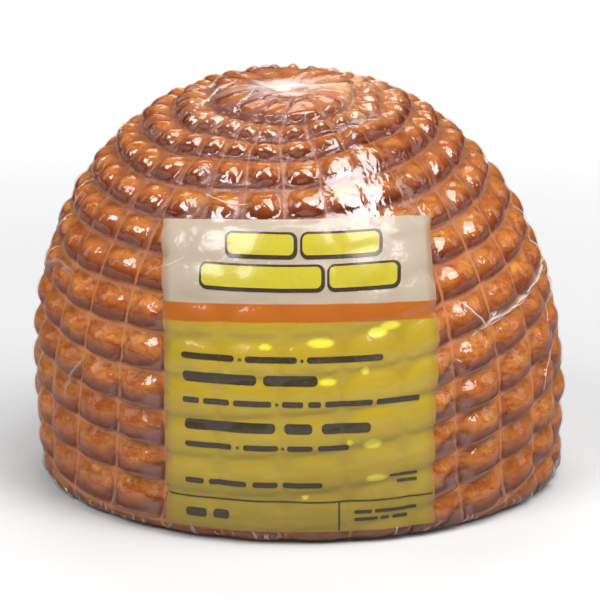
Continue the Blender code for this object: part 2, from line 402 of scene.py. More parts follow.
class NetSurface:
    """The fine net mesh's places, and the relief of the film and the meat there."""

    def __init__(self):
        draw = np.random.default_rng(SEED)
        phases = draw.uniform(0, 2 * math.pi, len(WAVES_ROUND))
        columns = [pillow + place for pillow in range(MERIDIANS) for place in PLACES_ACROSS]
        rows = [ring + place for ring in range(LOWEST_RING, GATHER_RINGS) for place in PLACES_UP]
        rows += list(np.linspace(GATHER_RINGS, LAST_ROW, TOP_PLACES))
        self.column, self.row = np.meshgrid([*columns, MERIDIANS], rows)
        turn, self.along = net_places(self.column, self.row, phases)
        self.place = gathered(*askew(turn, self.along), self.row)
        self.fullest = on_dome(*self.place, 0)
        self.x, self.y, self.z = np.moveaxis(self.fullest, -1, 0)
        self.from_gather = np.moveaxis(self.fullest - self.fullest[-1, 0], -1, 0)
        self.set_net()
        self.set_pillows()
        self.depth = self.relief(draw)
        self.bridge = self.find_bridge()
        self.gather_haze = self.find_gather_haze()
        self.haze = self.find_haze()

    def noise(self, scale, seed):
        return noise_at(self.fullest, scale, seed)

    def crumple(self, scale, seed):
        """Sharp creases: 1 along thin lines, falling away between them."""
        return 1 - CREASE_THINNESS * np.abs(self.noise(scale, seed))

    def set_net(self):
        """Where each point lies on the net, which wobbles and merges towards the crown."""
        wobbly = rise(self.row, *CROWN_WOBBLE_RISE)
        across, up = CROWN_WOBBLE
        self.merged = np.where(self.row >= MERGED_FROM_RING, MERGED_SHARE, 1)
        sideways = across * wobbly * self.noise(CROWN_WOBBLE_SCALE, 41)
        self.net_column = self.column * self.merged + sideways
        self.net_row = self.row + up * wobbly * self.noise(CROWN_WOBBLE_SCALE, 42)

    def set_pillows(self):
        """How far each point is from its pillow's middle, towards the edge and upward."""
        fade_from, fade_rings, faded = CROWN_RING_FADE
        kept = 1 - faded * rise(self.net_row, fade_from, fade_rings)
        across = np.abs(2 * np.mod(self.net_column, 1) - 1) * kept
        skew = math.log(0.5) / math.log(PILLOW_PEAK)
        upward = 2 * np.mod(self.net_row, 1) ** skew - 1
        upward = upward * np.clip(GATHER_RINGS - self.net_row, 0, 1) * kept
        crowded = rise(self.row, *CROWDED_RISE)
        lower_corner = LOWER_CORNER + (CROWDED_CORNER - LOWER_CORNER) * crowded
        corner = np.where(upward > 0, UPPER_CORNER, lower_corner)
        reach = (across**corner + np.abs(upward) ** corner) ** (1 / corner)
        up_part = np.abs(upward) ** RING_SHARE_POWER
        self.ring_share = up_part / (up_part + across**RING_SHARE_POWER + RING_SHARE_LEAST)
        self.reach = reach * (1 + OPEN_GAP + (CROWDED_GAP - OPEN_GAP) * crowded)
        self.upward, self.crowded = upward, crowded

    def relief(self, draw):
        """Depths below the fullest surface."""
        fall = np.clip(self.reach, 0, 1) ** PILLOW_FULLNESS
        meridian_depth = MERIDIAN_DEPTH * np.clip(radius_at(self.along) / MERIDIAN_FULL_RADIUS, 0, 1)
        meridian_depth *= np.clip((GATHER_RINGS - self.row) / CROWN_PLAIN_RINGS, CROWN_LEAST_DEPTH, 1)
        depth = fall * (meridian_depth + (RING_DEPTH - meridian_depth) * self.ring_share)
        uneven = draw.uniform(0, PILLOW_UNEVEN, (MERIDIANS, GATHER_RINGS - LOWEST_RING + SPARE_LEVELS))
        pillow = np.floor(self.net_column).astype(int) % MERIDIANS
        level = np.floor(self.net_row).astype(int) - LOWEST_RING
        depth += uneven[pillow, level] * (1 - fall)
        beige = rise(self.z, *BEIGE_SMOOTHS_RISE)
        smooths = PANEL_SMOOTHS + (BEIGE_SMOOTHS - PANEL_SMOOTHS) * beige
        depth *= 1 - smooths * under_panel(self.fullest)
        depth *= BASE_DEPTH_SHARE + (1 - BASE_DEPTH_SHARE) * smooth_step(self.z / FULL_DEPTH_HEIGHT)
        from_top = TOP - self.along
        depth *= np.clip(from_top / RING_PITCH, 0, 1)
        depth += DIMPLE_DEPTH * np.exp(-((from_top / DIMPLE_RADIUS) ** 2))
        crown = rise(self.along, TOP - CROWN_REACH, CROWN_REACH)
        return depth - CROWN_LUMP_HEIGHT * crown * self.noise(CROWN_LUMP_SCALE, 8)

    def find_bridge(self):
        """How nearly the film spans the grooves near the top right of the panel, from 0 to 1."""
        across, height, reach, most, edge = BRIDGE
        away = np.hypot(self.x - across, self.z - height) / reach
        return np.where(self.y < 0, most * smooth_step(edge - away), 0)

    def find_gather_haze(self):
        """How milky the bunched film is round the gather, from 0 to 1."""
        wide, deep = GATHER_HAZE_REACH
        x, y, _ = self.from_gather
        around = np.exp(-((x / wide) ** 2) - (y / deep) ** 2)
        even, streaky = GATHER_HAZE
        return around * (even + streaky * noise_at(self.fullest * GATHER_STREAKS, 6 * PATCH_SCALE, 6))

    def standing_off(self):
        """Where the film stands off under the pillows, from 0 to 1: beside the panel, and in patches."""
        left = (PANEL_LEFT - self.x) / BESIDE_PANEL_LEFT
        right = (self.x - PANEL_RIGHT) / BESIDE_PANEL_RIGHT
        beside = np.where(self.y < 0, np.exp(-(np.maximum(left, right).clip(0) ** 2)), 0)
        beside = beside * smooth_step((BESIDE_PANEL_TOP - self.z) / BESIDE_PANEL_FADE)
        wide = self.noise(PATCH_SCALE, 3) + 0.5 * self.noise(3 * PATCH_SCALE, 4)
        return np.maximum(beside, PATCH_MOST * rise(wide, *PATCH_RISE))

    def find_haze(self):
        """How milky the film is where it stands off from the meat, from 0 to 1."""
        coarse, fine = PATCH_RAGGED
        ragged = coarse * self.noise(3 * PATCH_SCALE, 5) + fine * self.noise(9 * PATCH_SCALE, 7)
        edge = PATCHLESS_REACH - (PATCHLESS_REACH - PATCH_REACH) * self.standing_off() + ragged
        # Milk on the lower faces, which face the floor: partly a painted reflection of it
        low = self.reach * smooth_step((0.5 - self.upward) / 0.5)
        band = smooth_step((low - edge) / PATCH_EDGE + 0.5)
        gap = self.crowded * CROWN_HAZE * rise(self.reach, *CROWN_HAZE_RISE)
        line = 1 - rise(self.reach, *CLEAR_LINE_RISE) * (1 - self.crowded)
        return np.maximum(band * line, np.maximum(gap, self.gather_haze)).clip(0, 1)

    def cream(self):
        """How pale the meat is, right of and behind the gather, from 0 to 1."""
        right, back, _ = self.from_gather
        near = smooth_step((CREAM_REACH - (TOP - self.along)) / CREAM_FADE)
        mottle = CREAM_MOTTLE * self.noise(2 * CROWN_LUMP_SCALE, 43)
        side = smooth_step(right / CREAM_FADE + CREAM_SIDE_FROM + mottle)
        behind = (CREAM_RIGHT * right + CREAM_BACK * back) / CREAM_FADE
        behind = smooth_step(behind + CREAM_BEHIND_FROM + mottle)
        return near * (CREAM_LEAST + (CREAM_MOST - CREAM_LEAST) * side * behind)

    def pressed(self):
        """How nearly the film is pressed into a groove, from 0 to 1."""
        return rise(self.reach, *PRESSED_RISE) * (1 - self.bridge)

    def doubled(self):
        """How nearly the film lies double: where it spans the grooves, and a little at the crown."""
        above = rise(self.z, *CROWN_DOUBLED_RISE)
        return np.maximum(self.bridge, CROWN_DOUBLED * above)

    def film_points(self):
        """Points of the film, with its crumples."""
        quiet = 1 - PANEL_QUIETS * under_panel(self.fullest)
        crumple = CRUMPLE_HEIGHT * self.crumple(CRUMPLE_SCALE, 11)
        crumple += FINE_CRUMPLE_HEIGHT * self.crumple(FINE_CRUMPLE_SCALE, 12)
        low = np.exp(-self.z.clip(0) / EDGE_CRUMPLE_REACH)
        crumple += EDGE_CRUMPLE_HEIGHT * low * self.crumple(2 * CRUMPLE_SCALE, 13)
        flatter = np.maximum(PATCH_FLATTENS * self.haze, self.bridge)
        return round_edge(on_dome(*self.place, self.depth * (1 - flatter) - crumple * quiet))

    def meat_points(self):
        """Points of the meat, which lies under the film."""
        lumps = LUMP_HEIGHT * self.noise(LUMP_SCALE, 21)
        lumps += PIMPLE_HEIGHT * self.noise(PIMPLE_SCALE, 22)
        depth = self.depth + FILM_GAP + STAND_OFF * self.haze + np.abs(lumps)
        return round_edge(on_dome(*self.place, depth))


def quads(index):
    """The four corners of each face of a grid of point numbers."""
    return np.stack([index[:-1, :-1], index[:-1, 1:], index[1:, 1:], index[1:, :-1]], axis=-1).reshape(-1, 4)


def add_features(mesh, features):
    """Stores a value of each feature at each point of a mesh."""
    for feature, values in features.items():
        layer = mesh.attributes.new(feature, "FLOAT", "POINT")
        layer.data.foreach_set("value", np.ravel(values).astype(np.float32))


def net_mesh(name, points, surface, features):
    """A welded mesh over the net's places, cut level at the base and closed there."""
    rows, columns = points.shape[:2]
    index = np.arange(rows * columns).reshape(rows, columns)
    corners = quads(index)
    mesh = bpy.data.meshes.new(name)
    mesh.from_pydata(points.reshape(-1, 3).tolist(), [], corners.tolist())
    net = np.stack([surface.net_column, surface.net_row], axis=-1).reshape(-1, 2)
    mesh.uv_layers.new(name="net").uv.foreach_set("vector", net[corners.ravel()].ravel())
    add_features(mesh, features)
    bm = bmesh.new()
    bm.from_mesh(mesh)
    bmesh.ops.remove_doubles(bm, verts=bm.verts, dist=WELD_REACH)
    bmesh.ops.bisect_plane(
        bm,
        geom=bm.verts[:] + bm.edges[:] + bm.faces[:],
        dist=CUT_REACH,
        plane_co=(0, 0, 0),
        plane_no=(0, 0, 1),
        clear_inner=True,
    )
    close_base(bm)
    bm.to_mesh(mesh)
    bm.free()
    mesh.shade_smooth()
    return mesh


# Rings of faces over the base, as shares of the way out from its middle
BASE_SHARES = (0.985, 0.96, 0.92, 0.86, 0.78, 0.69, 0.59, 0.48, 0.36, 0.24, 0.12)


def close_base(bm):
    """Fills the level cut with rings of faces towards the middle, in the second material."""
    rim = [edge for edge in bm.edges if edge.is_boundary]
    features = bm.verts.layers.float.values()
    before = 1.0
    for share in BASE_SHARES:
        made = bmesh.ops.extrude_edge_only(bm, edges=rim)["geom"]
        vertices, edges, faces = (
            [piece for piece in made if isinstance(piece, kind)]
            for kind in (bmesh.types.BMVert, bmesh.types.BMEdge, bmesh.types.BMFace)
        )
        for vertex in vertices:
            for axis, middle in enumerate(FRAME_SHIFT):
                vertex.co[axis] = middle + (vertex.co[axis] - middle) * share / before
            for feature in features:
                vertex[feature] = 0.0
        for face in faces:
            face.material_index = 1
        rim = [edge for edge in edges if edge.is_boundary]
        before = share
    for face in bmesh.ops.holes_fill(bm, edges=rim, sides=0)["faces"]:
        face.material_index = 1
    bmesh.ops.recalc_face_normals(bm, faces=bm.faces)


def add_object(name, data):
    made = bpy.data.objects.new(name, data)
    bpy.context.scene.collection.objects.link(made)
    return made


def place_piece(name, mesh, materials, node):
    """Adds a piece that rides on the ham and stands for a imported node."""
    for material in materials:
        mesh.materials.append(material)
    piece = add_object(name, mesh)
    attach(piece, "root")
    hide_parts(node)


def paint(red, green, blue):
    """A shader colour from the 0 to 255 values that a screen shows."""
    shown = np.array([red, green, blue]) / 255
    linear = np.where(shown > 0.04045, ((shown + 0.055) / 1.055) ** 2.4, shown / 12.92)
    return (*linear.tolist(), 1.0)


class Wire:
    """A value in a material's nodes, which takes the usual signs for sums and products."""

    def __init__(self, look, socket):
        self.look, self.socket = look, socket

    def __add__(self, other):
        return self.look.math("ADD", self, other)

    def __sub__(self, other):
        return self.look.math("SUBTRACT", self, other)

    def __rsub__(self, other):
        return self.look.math("SUBTRACT", other, self)

    def __mul__(self, other):
        return self.look.math("MULTIPLY", self, other)


class Shading:
    """The nodes of one material, added and linked by short calls."""

    def __init__(self, name):
        self.material = bpy.data.materials.new(name)
        self.material.use_nodes = True
        self.tree = self.material.node_tree
        self.tree.nodes.clear()
        self.place = self.add("TexCoord", "Object")

    def add(self, kind, output, inputs=(), **settings):
        """Adds a node with these inputs, and gives a wire from one of its outputs."""
        node = self.tree.nodes.new("ShaderNode" + kind)
        for key, value in settings.items():
            setattr(node, key, value)
        for key, value in dict(inputs).items():
            if isinstance(value, Wire):
                self.tree.links.new(value.socket, node.inputs[key])
            else:
                node.inputs[key].default_value = value
        return Wire(self, node.outputs[output])

    def math(self, operation, *values):
        return self.add("Math", 0, enumerate(values), operation=operation)

    def step(self, value, low, high, start=0.0, end=1.0):
        """Goes smoothly from start to end as the value goes from low to high."""
        sockets = {"Value": value, "From Min": low, "From Max": high, "To Min": start, "To Max": end}
        return self.add("MapRange", "Result", sockets, interpolation_type="SMOOTHSTEP")

    def noise(self, scale, detail=3.0, roughness=0.5, distortion=0.0, vector=None, output="Fac"):
        sockets = {"Vector": vector or self.place, "Scale": scale, "Detail": detail, "Roughness": roughness}
        return self.add("TexNoise", output, {**sockets, "Distortion": distortion})

    def mix(self, share, first, second):
        return self.add("Mix", 2, {0: share, 6: first, 7: second}, data_type="RGBA")

    def stretched(self, vector, *stretch):
        return self.add("VectorMath", 0, {0: vector, 1: stretch}, operation="MULTIPLY")

    def wandering(self, scale, reach):
        """The place, drawn this far to one side or another by slow noise."""
        drawn = self.stretched(self.noise(scale, 2.0, output="Color"), reach, reach, reach)
        return self.add("VectorMath", 0, {0: self.place, 1: drawn}, operation="ADD")

    def from_crease(self, place, scale):
        """How far a place is from the nearest border between cells."""
        sockets = {"Vector": place, "Scale": scale}
        return self.add("TexVoronoi", "Distance", sockets, feature="DISTANCE_TO_EDGE")

    def bump(self, height, distance, strength=1.0):
        return self.add("Bump", "Normal", {"Height": height, "Distance": distance, "Strength": strength})

    def attribute(self, name):
        return self.add("Attribute", "Fac", attribute_name=name)

    def split(self, vector):
        """Three wires, one for each part of a vector."""
        parts = self.add("SeparateXYZ", 0, {"Vector": vector}).socket.node.outputs
        return [Wire(self, part) for part in parts]

    def from_axis(self):
        """How far a place is from the upright axis."""
        x, y, _ = self.split(self.place)
        return self.math("SQRT", x * x + y * y)

    def finish(self, shader):
        output = self.tree.nodes.new("ShaderNodeOutputMaterial")
        self.tree.links.new(shader.socket, output.inputs["Surface"])
        return self.material

    def finish_body(self, sockets):
        return self.finish(self.add("BsdfPrincipled", "BSDF", sockets))


# Noises of the smoked ham: scale per metre, detail, roughness and distortion
GROOVE_RAGGED = (900, 2.0)
PATCHY = (210, 5.0, 0.65)
PATCHY_BY = 0.5
GOLD_SPOTS = (330, 6.0, 0.7, 0.5)
MEAT_FIBRES = (260, 6.0, 0.65)
FIBRES_FLAT = 2.5
SPECKS = (1500, 3.0, 0.6)
MEAT_GRAIN = (420, 6.0, 0.6)
FIBRES_IN_GRAIN = 0.7
CROWN_STREAKS = (0.45, 3.0, 0.5, 0.4)
CROWN_STREAK_STRETCH = (1.0, 0.6, 0.0)

# Grooves of the smoked ham: lengths in metres, and the widths from near the top to lower down
RING_LINE_SHARE = 0.65
GROOVE_CORNER = 0.0003
GROOVE_RAGGED_BY = 0.0007
GROOVE_LEAST = 0.0001
GROOVE_WIDTHS = (0.04, 0.07, 0.0004, 0.00068)

# Ramps of the smoked ham: from which value to which, and from which share to which
# The lower face of each pillow gets painted shade
LOWER_FACE_SHADE = (0.12, 0.64, 0.95, 0.0)
GOLD_WHERE = (0.5, 0.66)
# Gold only on the upper slope of each pillow: painted light
LIT_UPPER_SLOPE = (0.35, 0.7)
GOLD_SHARE = (0.6, 0.25)
FIBRE_WHERE = (0.42, 0.66)
SPECK_WHERE = (0.56, 0.7, 0.0, 0.35)
# Darker near the base: painted shade
NEAR_BASE_SHADE = (0.002, 0.0075, 0.65, 0.0)
NEAR_POLE = (0.012, 0.03, 1.0, 0.0)
LINE_SHARE = (-0.75, 0.8)
POLE_SHARE = 0.35
STREAK_WHERE = (0.4, 0.62)
MEAT_ROUGHNESS = (0.5, 1.2, 0.32, 0.5)

# Colours of the smoked ham; the gold tone is partly painted light, the lower and base tones are painted
# shade
SMOKED = (paint(154, 88, 40), paint(170, 105, 52))
FIBRE_TONE = paint(140, 68, 30)
GOLD_AND_LIGHT_TONE = paint(196, 134, 60)
LOWER_SHADE_TONE = paint(96, 33, 6)
SPECK_TONE = paint(86, 34, 14)
BASE_SHADE_TONE = paint(92, 58, 44)
LINE_TONE = paint(176, 115, 80)
POLE_TONE = paint(138, 76, 38)
CREAM_TONES = (paint(162, 96, 50), paint(202, 158, 116))

# How light spreads within the meat, by red, green and blue in metres, and its bumps' depth and strength
MEAT_SCATTER = (0.004, 0.0014, 0.0007)
MEAT_BUMPS = (0.00025, 0.6)


def groove_lines(look, around, upward):
    """How nearly a place lies in a groove, by how far away the net's lines are."""
    across, up = look.math("FRACT", around), look.math("FRACT", upward)
    side_away = look.math("MINIMUM", across, 1.0 - across) * look.attribute("pillow_width")
    up_away = look.math("MINIMUM", up, 1.0 - up) * (RING_LINE_SHARE * RING_PITCH)
    away = look.math("SMOOTH_MIN", side_away, up_away, GROOVE_CORNER)
    away = away + (look.noise(*GROOVE_RAGGED) - 0.5) * GROOVE_RAGGED_BY
    width = look.step(look.attribute("from_pole"), *GROOVE_WIDTHS)
    return look.step(away, GROOVE_LEAST, width, 1.0, 0.0)


def smoked_colour(look, net, fibre):
    """Golden upper slopes, partly painted light; dark red-brown lower faces and a darker base, painted
    shade; pale lines in the grooves and a pale crown.
    """
    around, upward, _ = look.split(net)
    level = look.math("FRACT", upward) + (look.noise(*PATCHY) - 0.5) * PATCHY_BY
    pillow = look.add("CombineXYZ", 0, {"X": look.math("FLOOR", around), "Y": look.math("FLOOR", upward)})
    tone = look.add("TexWhiteNoise", "Value", {"Vector": pillow}, noise_dimensions="3D")
    # Gold spots, kept to the upper slope of each pillow: partly painted light
    gold_and_light = look.step(look.noise(*GOLD_SPOTS), *GOLD_WHERE) * look.step(level, *LIT_UPPER_SLOPE)
    gold_and_light = gold_and_light * look.math("MULTIPLY_ADD", tone, *GOLD_SHARE)
    # Darker near the base: painted shade
    low = look.step(look.split(look.place)[2], *NEAR_BASE_SHADE)
    pole = look.step(look.attribute("from_pole"), *NEAR_POLE)
    line = groove_lines(look, around, upward) * look.math("MULTIPLY_ADD", pole, *LINE_SHARE)
    streaks = look.noise(*CROWN_STREAKS, vector=look.stretched(net, *CROWN_STREAK_STRETCH))
    layers = (
        (look.step(fibre, *FIBRE_WHERE), FIBRE_TONE),
        (gold_and_light, GOLD_AND_LIGHT_TONE),
        # The lower face of each pillow: painted shade
        (look.step(level, *LOWER_FACE_SHADE), LOWER_SHADE_TONE),
        (look.step(look.noise(*SPECKS), *SPECK_WHERE), SPECK_TONE),
        (low, BASE_SHADE_TONE),
        (line, LINE_TONE),
        (pole * POLE_SHARE, POLE_TONE),
        (look.attribute("cream"), look.mix(look.step(streaks, *STREAK_WHERE), *CREAM_TONES)),
    )
    colour = look.mix(tone, *SMOKED)
    for share, over in layers:
        colour = look.mix(share, colour, over)
    return colour


def smoked_surface():
    """The smoked ham's surface, with the marks of the net."""
    look = Shading("smoked_ham")
    net = look.add("UVMap", "UV", uv_map="net")
    fibre = look.noise(*MEAT_FIBRES, vector=look.stretched(look.place, 1.0, 1.0, FIBRES_FLAT))
    grain = look.noise(*MEAT_GRAIN) + fibre * FIBRES_IN_GRAIN
    sockets = {
        "Base Color": smoked_colour(look, net, fibre),
        "Roughness": look.step(grain, *MEAT_ROUGHNESS),
        "Subsurface Weight": 0.05,
        "Subsurface Radius": MEAT_SCATTER,
        "Subsurface Scale": 1.0,
        "Specular IOR Level": 0.05,
        "Normal": look.bump(grain, *MEAT_BUMPS),
    }
    return look.finish_body(sockets)


# The cut face: scales per metre and lengths in metres, ramps as above, and colours
MUSCLE_WANDER = (60.0, 0.018)
MUSCLE_SCALE = 42.0
SEAM_WHERE = (0.01, 0.07, 0.6, 0.0)
CUT_FIBRES = (700, 5.0, 0.6)
CUT_FIBRE_WHERE = (0.45, 0.7)
CUT_BLUSH = (45, 3.0)
RIM_WANDER = 0.006
RIM_WHERE = (0.058, 0.067, 0.0, 0.85)
CUT_ROUGHNESS = (0.3, 0.7, 0.3, 0.45)
CUT_BUMPS = (0.0002, 0.6)
CUT_TONES = (paint(214, 138, 122), paint(196, 112, 98))
CUT_FIBRE_TONE = paint(222, 158, 140)
SEAM_TONE = paint(234, 198, 176)
RIM_TONE = paint(150, 74, 38)


def cut_surface():
    """The ham's cut face underneath: pink meat with paler seams, and a smoked rim."""
    look = Shading("cut_ham")
    from_seam = look.from_crease(look.wandering(*MUSCLE_WANDER), MUSCLE_SCALE)
    fibre, blush = look.noise(*CUT_FIBRES), look.noise(*CUT_BLUSH)
    colour = look.mix(blush, *CUT_TONES)
    colour = look.mix(look.step(fibre, *CUT_FIBRE_WHERE), colour, CUT_FIBRE_TONE)
    colour = look.mix(look.step(from_seam, *SEAM_WHERE), colour, SEAM_TONE)
    colour = look.mix(look.step(look.from_axis() + blush * RIM_WANDER, *RIM_WHERE), colour, RIM_TONE)
    seam = look.step(from_seam, *SEAM_WHERE[:2], 1.0, 0.0)
    sockets = {
        "Base Color": colour,
        "Roughness": look.step(fibre, *CUT_ROUGHNESS),
        "Subsurface Weight": 0.15,
        "Subsurface Radius": MEAT_SCATTER,
        "Subsurface Scale": 1.0,
        "Normal": look.bump(fibre - seam, *CUT_BUMPS),
    }
    return look.finish_body(sockets)


# The relief of crumpled film: size and depth of its facets in metres on clear and on printed film, then
# how slowly they wander, how much finer the small creases and ripples are, and how deep beside the facets
CLEAR_FACETS = (0.0055, 0.0003)
PRINT_FACETS = (0.006, 0.0004)
FACET_WANDER = 0.6
FINE_CREASES = (2.7, 0.36)
RIPPLES = (4, 0.17)
RIPPLE_DETAIL = 3.0

# The film's milky smears, and the tones of its haze, partly painted reflection and sheen, and of the film
# itself
SMEARS = (260, 4.0, 0.6)
SMEAR_WHERE = (0.5, 0.8, 0.0, 0.02)
HAZE_AND_SHEEN_TONES = (paint(124, 82, 70), paint(234, 218, 208))
FILM_TINT = (0.97, 0.97, 0.96, 1)
WRAP_HAZE = 0.6
FOLD_HAZE = 0.65


def film_relief(look, size, depth):
    """The normal of crumpled film: flat facets that meet at creases, with fine ripples."""
    place = look.wandering(FACET_WANDER / size, size)
    finer, fine_depth = FINE_CREASES
    fine = look.from_crease(place, finer / size)
    height = look.math("MULTIPLY_ADD", fine, fine_depth, look.from_crease(place, 1 / size))
    quicker, ripple_depth = RIPPLES
    ripples = look.noise(quicker / size, RIPPLE_DETAIL)
    return look.bump(look.math("MULTIPLY_ADD", ripples, ripple_depth, height), depth)


def film_surface(name, haze_share):
    """Clear glossy film, milky where it stands off from the meat, partly as a painted reflection and sheen.
    """
    look = Shading(name)
    normal = film_relief(look, *CLEAR_FACETS)
    smear = look.step(look.noise(*SMEARS), *SMEAR_WHERE)
    haze = look.math("MULTIPLY_ADD", look.attribute("haze"), haze_share, smear)
    # Paler round the gather and along pale folds: partly a painted sheen
    tone = look.mix(look.attribute("pale"), *HAZE_AND_SHEEN_TONES)
    milk_and_sheen = look.add("BsdfDiffuse", 0, {"Color": tone, "Normal": normal})
    clear = look.add("BsdfTransparent", 0, {"Color": FILM_TINT})
    body = look.add("MixShader", 0, {0: haze, 1: clear, 2: milk_and_sheen})
    pressed = look.attribute("pressed")
    rough = look.step(pressed, 0.0, 1.0, FILM_ROUGH, PRESSED_ROUGH)
    gloss = look.add("BsdfGlossy", 0, {"Roughness": rough, "Normal": normal})
    facing = look.add("LayerWeight", "Facing", {"Normal": normal})
    grazing = look.math("POWER", facing, FILM_GRAZING_POWER)
    share = look.math("MULTIPLY_ADD", grazing, FILM_GRAZING, FILM_REFLECTS)
    share = share * look.step(pressed, 0.0, 1.0, 1.0, PRESSED_REFLECTS)
    share = share * look.math("MULTIPLY_ADD", look.attribute("doubled"), DOUBLED_ADDS, 1.0)
    return look.finish(look.add("MixShader", 0, {0: share, 1: body, 2: gloss}))


# The printed fields: noises and ramps as above, and colours in pairs that clouds mix
FIELD_EDGE = 0.0002
PRINT_CLOUDS = (55, 3.0)
DINGY_CLOUDS = (38, 2.0)
DINGY_WHERE = (0.4, 0.6, 0.0, 0.6)
# Painted shade: in the valleys, and near the base
VALLEY_SHADE_WHERE = (0.15, 0.75)
SHADED_HEIGHTS = (0.005, 0.024, 0.45, 0.0)
# How strong the painted highlight is where the print is pressed
PRESSED_HIGHLIGHT_SHARE = 0.9
WORN_BY = 0.002
PRINT_ROUGHNESS = (0.3, 0.7, 0.2, 0.3)
BEIGE = (paint(156, 143, 128), paint(140, 126, 108))
ORANGE = (paint(152, 86, 26), paint(140, 72, 20))
YELLOW = (paint(156, 134, 36), paint(136, 112, 32))
# Painted shade in the valleys, and near the base
DINGY_SHADE_TONE = paint(104, 90, 36)
SHADED_TONE = paint(104, 90, 30)
# Painted highlight where the print is pressed
PRESSED_HIGHLIGHT_TONE = paint(190, 180, 56)
WORN_TONE = paint(128, 82, 40)


def yellow_field(look, cloud, height):
    """The yellow field: painted shade in the valleys, broken by dingy clouds; painted shade near the base; a
    painted highlight where it is pressed.
    """
    # How deep the film lies in a groove: painted shade on the yellow
    valley_shade = look.step(look.attribute("valley"), *VALLEY_SHADE_WHERE)
    dingy = look.step(look.noise(*DINGY_CLOUDS), *DINGY_WHERE)
    tone = look.mix(valley_shade * dingy, look.mix(cloud, *YELLOW), DINGY_SHADE_TONE)
    tone = look.mix(look.step(height, *SHADED_HEIGHTS), tone, SHADED_TONE)
    # Brighter where the print is pressed to the ham: a painted highlight
    return look.mix(look.attribute("pressed") * PRESSED_HIGHLIGHT_SHARE, tone, PRESSED_HIGHLIGHT_TONE)


def print_surface():
    """The printed film: beige field, orange band and yellow field, a little worn at the edges, with painted
    shade and highlights.
    """
    look = Shading("printed_fields")
    x, _, z = look.split(look.place)
    out = look.math("DIVIDE", x, PANEL_RIGHT)
    height = z - (1.0 - out * out) * FIELD_BOW
    cloud = look.noise(*PRINT_CLOUDS)
    beige = look.step(height, ORANGE_TOP - FIELD_EDGE, ORANGE_TOP + FIELD_EDGE)
    yellow = look.step(height, ORANGE_BOTTOM - FIELD_EDGE, ORANGE_BOTTOM + FIELD_EDGE, 1.0, 0.0)
    colour = look.mix(beige, look.mix(cloud, *ORANGE), look.mix(cloud, *BEIGE))
    colour = look.mix(yellow, colour, yellow_field(look, cloud, height))
    inside = look.attribute("inside") + (cloud - 0.5) * WORN_BY
    colour = look.mix(look.step(inside, 0.0, PANEL_EDGE_FADE, 0.5, 0.0), colour, WORN_TONE)
    sockets = {
        "Base Color": colour,
        "Roughness": look.step(cloud, *PRINT_ROUGHNESS),
        "Specular IOR Level": 0.2,
        "Coat Weight": 0.35,
        "Coat Roughness": 0.06,
        "Coat Normal": film_relief(look, *PRINT_FACETS),
    }
    return look.finish_body(sockets)


# Inks, each with the tone where it is worn
INK_WEAR = (900, 4.0, 0.6)
INK_WORN_WHERE = (0.5, 0.9)
INK_RIPPLES = (300, 4.0, 0.6)
INK_BUMPS = (0.0002, 0.4)
INK_ROUGHNESS = (0.22, 0.3)
DARK_INK = (paint(50, 42, 30), paint(78, 66, 38))
YELLOW_INK = (paint(156, 144, 40), paint(140, 126, 38))


def ink(name, colour, worn):
    """Printed ink under the film's gloss."""
    look = Shading(name)
    wear = look.step(look.noise(*INK_WEAR), *INK_WORN_WHERE)
    sockets = {
        "Base Color": look.mix(wear, colour, worn),
        "Roughness": look.step(wear, 0.0, 1.0, *INK_ROUGHNESS),
        "Specular IOR Level": 0.3,
        "Coat Weight": 0.12,
        "Coat Roughness": 0.1,
        "Normal": look.bump(look.noise(*INK_RIPPLES), *INK_BUMPS),
    }
    return look.finish_body(sockets)


class Film:
    """Finds places on the film, to lay other pieces on it."""

    def __init__(self, mesh):
        self.tree = BVHTree.FromPolygons(
            [vertex.co for vertex in mesh.vertices], [tuple(face.vertices) for face in mesh.polygons]
        )

    def depth(self, x, z):
        """How far under the dome's fullest surface the film lies, at a place on the front."""
        place = front_place(x, z)
        start = on_dome(*place, -CAST_START)
        inward = (on_dome(*place, 0) - start) / CAST_START
        length = np.linalg.norm(inward, axis=-1)
        depths = np.empty(length.shape)
        for spot in np.ndindex(length.shape):
            hit = self.tree.ray_cast(Vector(start[spot]), Vector(inward[spot]))
            depths[spot] = hit[3] / length[spot] - CAST_START if hit[0] else 0
        return depths

    def nearest(self, point):
        """The nearest place on the film, and its normal."""
        place, normal, _, _ = self.tree.find_nearest(Vector(point))
        return np.array(place), np.array(normal)

    def seen_at(self, across, down):
        """The place on the film that shows at this pixel of the photograph, or just inside its edge."""
        start, right, up, sight = camera_view()
        for step in range(IMAGE_SIZE):
            inside = across + step * (1 if across < IMAGE_SIZE / 2 else -1)
            place = (inside - IMAGE_SIZE / 2) * right - (down - IMAGE_SIZE / 2) * up
            ray = place * SENSOR_WIDTH / IMAGE_SIZE + sight * CAMERA_LENS
            hit = self.tree.ray_cast(start, ray.normalized())
            if hit[0]:
                return np.array(hit[0])


def camera_view():
    """Where the camera stands, and its directions to the right, up and ahead."""
    base = Vector((*FRAME_SHIFT, 0))
    sight = Vector((0, math.cos(CAMERA_RISE), -math.sin(CAMERA_RISE)))
    start = base + Vector((0, 0, CAMERA_PIVOT_HEIGHT)) - sight * CAMERA_DISTANCE
    ahead = (base + Vector(CAMERA_AIM) - start).normalized()
    right = ahead.cross(Vector((0, 0, 1))).normalized()
    return start, right, right.cross(ahead), ahead


def spread(values, passes):
    """Averages each value with its neighbours, some passes over."""
    for _ in range(passes):
        padded = np.pad(values, 1, mode="edge")
        beside = padded[:-2, 1:-1] + padded[2:, 1:-1] + padded[1:-1, :-2] + padded[1:-1, 2:]
        values = (beside + 4 * values) / 8
    return values


